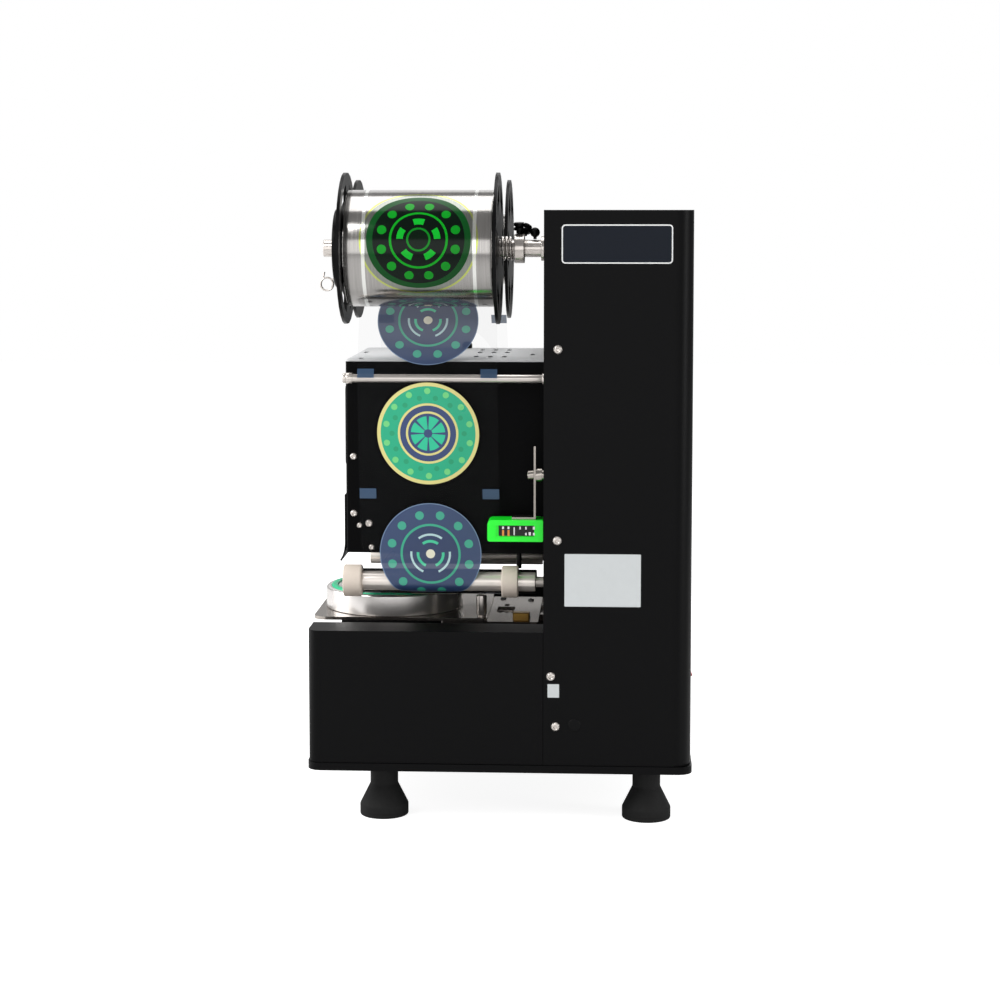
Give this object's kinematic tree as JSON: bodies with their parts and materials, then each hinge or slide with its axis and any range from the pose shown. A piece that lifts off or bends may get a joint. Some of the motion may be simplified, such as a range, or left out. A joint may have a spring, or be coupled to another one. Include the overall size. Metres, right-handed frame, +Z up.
{
  "type": "cup sealing machine",
  "caption": "Automatic cup sealing machine: film runs from a braked spool under a heated press to a take-up spool, above a sliding cup drawer.",
  "frame": {"origin": "middle of the footprint on the ground", "axes": "+Z up, +X from the cup drawer at the front to the tower at the back, +Y from the supply spool to the take-up spool"},
  "size_m": [0.3638, 0.34, 0.6006],
  "materials": {
    "black_coat": "satin powder coat",
    "steel": "satin ground",
    "bright_steel": "polished",
    "zinc": "zinc plated",
    "rubber": "matte",
    "cream_rubber": "matte",
    "teal_silicone": "satin",
    "black_plastic": "moulded",
    "green_plastic": "gloss",
    "film": "clear film",
    "board": "coated board",
    "red_plastic": "gloss"
  },
  "bodies": {
    "housing": {"rubber_foot_front_near": "rubber", "rubber_foot_front_far": "rubber", "rubber_foot_rear_near": "rubber", "rubber_foot_rear_far": "rubber", "bottom_pan": "black_coat", "base_side_near": "black_coat", "base_side_far": "black_coat", "channel_end_cover": "black_coat", "tower_cover": "black_coat", "tower_front_plate": "black_coat", "head_cover": "black_coat", "head_top_plate": "zinc", "front_guard": "black_coat", "control_panel": "black_plastic", "drawer_rail_near": "bright_steel", "drawer_rail_far": "bright_steel", "drawer_motor": "zinc", "press_post_near": "bright_steel", "press_post_far": "bright_steel", "press_motor": "zinc", "supply_shaft": "bright_steel", "brake_collar": "bright_steel", "brake_spring": "bright_steel", "takeup_motor": "zinc", "guide_rod_near": "bright_steel", "guide_rod_far": "bright_steel", "film_web": "film", "sensor_body": "green_plastic", "sensor_bracket": "steel", "control_board": "board", "power_inlet": "black_plastic"},
    "supply_spool": {"supply_spool_core": "black_plastic", "supply_outer_flange": "black_plastic", "supply_hub_disc": "black_plastic", "supply_film_roll": "film", "retaining_clip": "bright_steel"},
    "takeup_spool": {"takeup_spool_core": "black_plastic", "takeup_film_roll": "film"},
    "feed_roller_set": {"feed_roller": "bright_steel", "feed_ring_front": "cream_rubber", "feed_ring_rear": "cream_rubber"},
    "pinch_roller_set": {"pinch_roller": "rubber"},
    "exit_roller_set": {"exit_roller": "bright_steel"},
    "drawer": {"drawer_tray": "steel", "cup_ring": "bright_steel", "ring_gasket": "teal_silicone", "cup_insert": "black_plastic", "drawer_carriage": "steel"},
    "drawer_gear": {"drawer_pinion": "steel"},
    "press": {"press_yoke": "steel", "heater_plate": "zinc", "film_cutter": "steel"},
    "press_gear": {"press_pinion": "steel"},
    "upright_screw": {"collar_screw_upright": "black_plastic"},
    "leaning_screw": {"collar_screw_leaning": "black_plastic"},
    "lock_knob": {"shaft_lock_knob": "black_plastic"},
    "bracket_knob": {"sensor_knob": "steel"},
    "start_button": {"panel_button_start": "red_plastic"},
    "mode_button": {"panel_button_mode": "red_plastic"},
    "rocker": {"power_switch": "red_plastic"}
  },
  "joints": [
    {"name": "drawer_slide", "type": "slide", "parent": "housing", "child": "drawer", "axis": [1, 0, 0], "range_m": [-0.095, 0.045]},
    {"name": "drawer_pinion_turn", "type": "hinge", "parent": "housing", "child": "drawer_gear", "pos_m": [0.01608, 0.012, 0.161], "axis": [0, 0, 1], "range_deg": [-273, 130]},
    {"name": "press_slide", "type": "slide", "parent": "housing", "child": "press", "axis": [0, 0, -1], "range_m": [0, 0.0425]},
    {"name": "press_pinion_turn", "type": "hinge", "parent": "housing", "child": "press_gear", "pos_m": [-0.06492, 0.02, 0.35], "axis": [1, 0, 0], "range_deg": [-1, 123]},
    {"name": "supply_spool_spin", "type": "hinge", "parent": "housing", "child": "supply_spool", "pos_m": [-0.0734, -0.1, 0.531], "axis": [1, 0, 0], "continuous": true},
    {"name": "takeup_spool_spin", "type": "hinge", "parent": "housing", "child": "takeup_spool", "pos_m": [-0.0734, 0.1, 0.527], "axis": [1, 0, 0], "continuous": true},
    {"name": "feed_roller_spin", "type": "hinge", "parent": "housing", "child": "feed_roller_set", "pos_m": [-0.0734, -0.1007, 0.2203], "axis": [1, 0, 0], "continuous": true},
    {"name": "pinch_roller_spin", "type": "hinge", "parent": "housing", "child": "pinch_roller_set", "pos_m": [-0.0734, -0.0742, 0.2158], "axis": [1, 0, 0], "continuous": true},
    {"name": "exit_roller_spin", "type": "hinge", "parent": "housing", "child": "exit_roller_set", "pos_m": [-0.0734, 0.1007, 0.2131], "axis": [1, 0, 0], "continuous": true},
    {"name": "upright_screw_turn", "type": "hinge", "parent": "housing", "child": "upright_screw", "pos_m": [0.01678, -0.1, 0.531], "axis": [0, -0.0995, 0.995], "range_deg": [-180, 180]},
    {"name": "leaning_screw_turn", "type": "hinge", "parent": "housing", "child": "leaning_screw", "pos_m": [0.01678, -0.1, 0.531], "axis": [0.2542, 0.4661, 0.8474], "range_deg": [-180, 180]},
    {"name": "lock_knob_turn", "type": "hinge", "parent": "housing", "child": "lock_knob", "pos_m": [0.03103, -0.1, 0.531], "axis": [0, 0, 1], "range_deg": [-180, 180]},
    {"name": "bracket_knob_turn", "type": "hinge", "parent": "housing", "child": "bracket_knob", "pos_m": [0.0284, -0.126, 0.324], "axis": [1, 0, 0], "range_deg": [-180, 180]},
    {"name": "start_button_press", "type": "slide", "parent": "housing", "child": "start_button", "axis": [1, 0, 0], "range_m": [0, 0.0015], "stiffness_N_per_m": 400},
    {"name": "mode_button_press", "type": "slide", "parent": "housing", "child": "mode_button", "axis": [1, 0, 0], "range_m": [0, 0.0015], "stiffness_N_per_m": 400},
    {"name": "power_switch_rock", "type": "hinge", "parent": "housing", "child": "rocker", "pos_m": [0.17648, 0, 0.1205], "axis": [0, 1, 0], "range_deg": [0, 20]}
  ],
  "couplings": [
    {"joint": "drawer_pinion_turn", "follows": "drawer_slide", "rad_per_m": 50},
    {"joint": "press_pinion_turn", "follows": "press_slide", "rad_per_m": 50},
    {"joint": "feed_roller_spin", "follows": "supply_spool_spin", "ratio": -5.751},
    {"joint": "pinch_roller_spin", "follows": "supply_spool_spin", "ratio": -4.473},
    {"joint": "exit_roller_spin", "follows": "supply_spool_spin", "ratio": -5.751},
    {"joint": "takeup_spool_spin", "follows": "supply_spool_spin", "ratio": 1.529}
  ]
}
